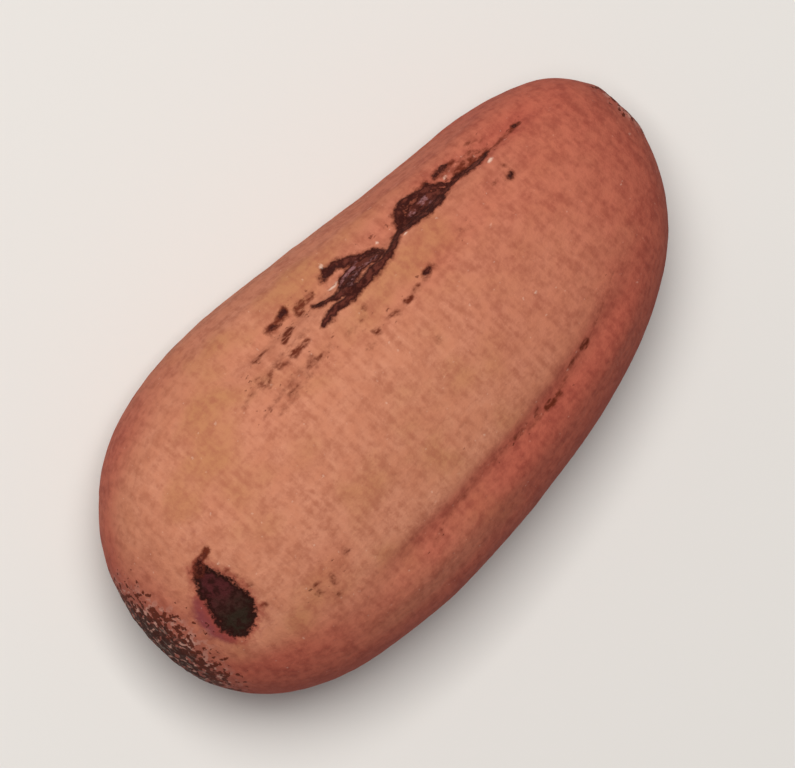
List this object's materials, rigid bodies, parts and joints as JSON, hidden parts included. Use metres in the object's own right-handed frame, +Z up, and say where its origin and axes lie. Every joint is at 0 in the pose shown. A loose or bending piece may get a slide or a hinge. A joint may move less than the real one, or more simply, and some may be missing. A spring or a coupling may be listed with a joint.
{
  "type": "stone pine seed",
  "caption": "Whole closed stone pine seed with a hard matt shell, dark eye spots at its broad end and lengthwise furrows, to lie loose on a surface or be heaped with others.",
  "frame": {"origin": "on the surface the seed rests on, under the middle of its bounding box", "axes": "+X along the seed towards its narrow end, +Y across it towards the flank with two dark furrows, +Z up through its thickness"},
  "size_m": [0.018, 0.0094, 0.0076],
  "materials": {
    "shell": "matt woody shell, tan-orange with redder flanks, finely mottled, with black-brown eye spots and film remains"
  },
  "bodies": {
    "root": {"seed": "shell"}
  },
  "joints": []
}
